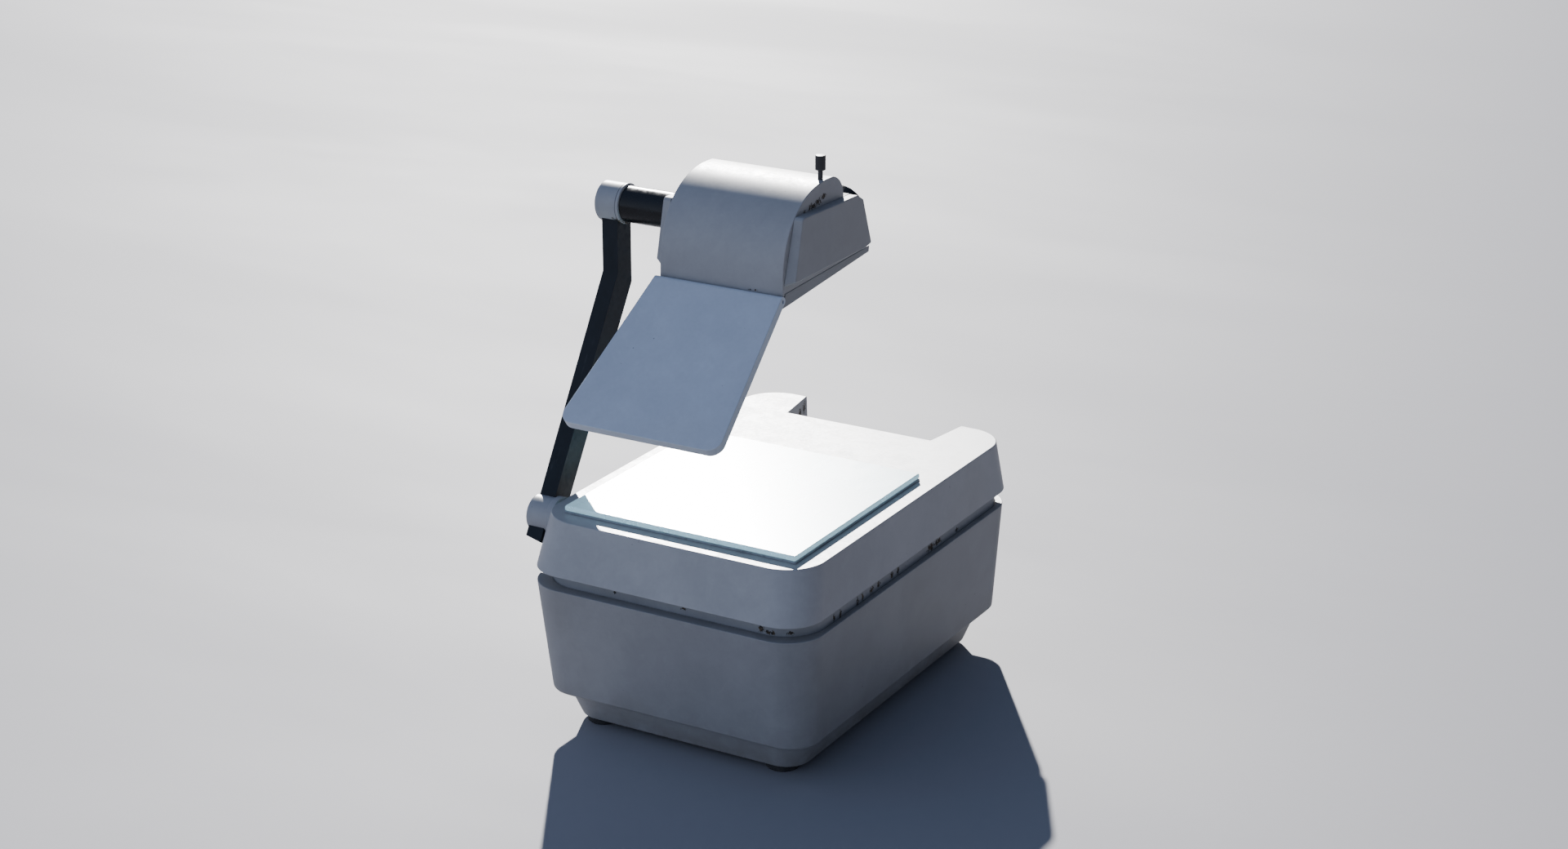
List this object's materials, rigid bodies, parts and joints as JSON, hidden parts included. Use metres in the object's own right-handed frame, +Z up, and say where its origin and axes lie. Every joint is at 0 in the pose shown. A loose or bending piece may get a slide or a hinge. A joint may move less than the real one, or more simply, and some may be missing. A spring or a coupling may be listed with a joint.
{
  "type": "overhead projector",
  "caption": "Overhead projector with a lit glass stage on a rounded grey base, a folding side arm, a closed tilting projection head and a hinged glare flap",
  "frame": {"origin": "centre of the bounding box on the table plane, under the feet", "axes": "+Z up; +Y from the operator's side with the flap towards the screen; +X to the operator's right, away from the arm"},
  "size_m": [0.3465, 0.4952, 0.578],
  "materials": {
    "casing_grey": "light grey moulded plastic, worn",
    "inner_grey": "grey plastic inner frame",
    "arm_paint": "dark blue-black satin paint on the arm bar",
    "gloss_black": "glossy black",
    "rubber": "black rubber feet",
    "gasket_rubber": "grey rubber gasket strip under the stage glass",
    "optical_glass": "clear glass and clear acrylic optics",
    "steel": "zinc-plated steel brackets, pins and screws",
    "black_plastic": "black plastic",
    "flap_plastic": "bluish-grey moulded flap",
    "copper": "enamelled copper winding",
    "ceramic": "ceramic lamp holder",
    "mirror": "front-silvered mirror and polished reflector"
  },
  "bodies": {
    "base": {"bottom_tray": "casing_grey", "lower_casing": "casing_grey", "top_casing": "casing_grey", "seal_frame": "inner_grey", "pivot_collar": "casing_grey", "stage_gasket": "gasket_rubber", "foot_front_left": "rubber", "foot_front_right": "rubber", "foot_rear_left": "rubber", "foot_rear_right": "rubber", "stage_glass": "optical_glass", "fresnel_lens": "optical_glass", "condenser_lens": "optical_glass", "lamp": "optical_glass", "fresnel_retainer": "steel", "lamp_bracket": "steel", "condenser_holder": "steel", "pivot_bracket": "steel", "pivot_shaft": "steel", "pivot_nut": "steel", "transformer_core": "steel", "fan_motor": "steel", "tray_screw_1": "steel", "tray_screw_2": "steel", "tray_screw_3": "steel", "tray_screw_4": "steel", "exhaust_grille": "black_plastic", "mains_inlet": "black_plastic", "fuse_holder": "black_plastic", "switch_bezel": "black_plastic", "fan_frame": "black_plastic", "thermal_cutout": "black_plastic", "transformer_coil": "copper", "lamp_socket": "ceramic", "reflector": "mirror"},
    "arm": {"arm_bar": "arm_paint", "lower_hub": "casing_grey", "upper_hub": "casing_grey", "tilt_spindle": "steel", "tilt_nut": "steel"},
    "head": {"head_shell": "casing_grey", "left_cover": "casing_grey", "right_cover": "casing_grey", "head_base_plate": "casing_grey", "head_tube": "gloss_black", "rear_hood": "gloss_black", "lens_cell": "black_plastic", "projection_lens": "optical_glass", "mirror": "mirror", "mirror_mount": "steel", "guide_rod": "steel", "flap_hinge_pin": "steel"},
    "flap": {"flap_plate": "flap_plastic"},
    "knob": {"focus_knob": "black_plastic", "focus_screw": "steel"},
    "lens": {"lens_carriage": "black_plastic", "objective_cell": "black_plastic", "objective_lens": "optical_glass"},
    "rocker": {"power_rocker": "black_plastic"},
    "rotor": {"fan_rotor": "black_plastic"}
  },
  "joints": [
    {"name": "arm_fold", "type": "hinge", "parent": "base", "child": "arm", "pos_m": [-0.15845, -0.1525, 0.2088], "axis": [1, 0, 0], "range_deg": [-36, 15]},
    {"name": "head_tilt", "type": "hinge", "parent": "arm", "child": "head", "pos_m": [-0.10695, -0.0112, 0.4986], "axis": [1, 0, 0], "range_deg": [-20, 20]},
    {"name": "flap_hinge", "type": "hinge", "parent": "head", "child": "flap", "pos_m": [0.01305, -0.0984, 0.455], "axis": [1, 0, 0], "range_deg": [-35, 50]},
    {"name": "focus_turn", "type": "hinge", "parent": "head", "child": "knob", "pos_m": [0.07605, -0.0114, 0.56], "axis": [0, 0, 1], "range_deg": [-180, 180]},
    {"name": "lens_focus", "type": "slide", "parent": "head", "child": "lens", "axis": [0, 0, 1], "range_m": [-0.004, 0.004]},
    {"name": "power_rocker", "type": "hinge", "parent": "base", "child": "rocker", "pos_m": [0.07505, 0.2351, 0.096], "axis": [1, 0, 0], "range_deg": [0, 16]},
    {"name": "fan_spin", "type": "hinge", "parent": "base", "child": "rotor", "pos_m": [0.06505, 0.1436, 0.074], "axis": [0, 1, 0], "continuous": true}
  ],
  "couplings": [
    {"joint": "focus_turn", "follows": "lens_focus", "rad_per_m": 785.39}
  ]
}
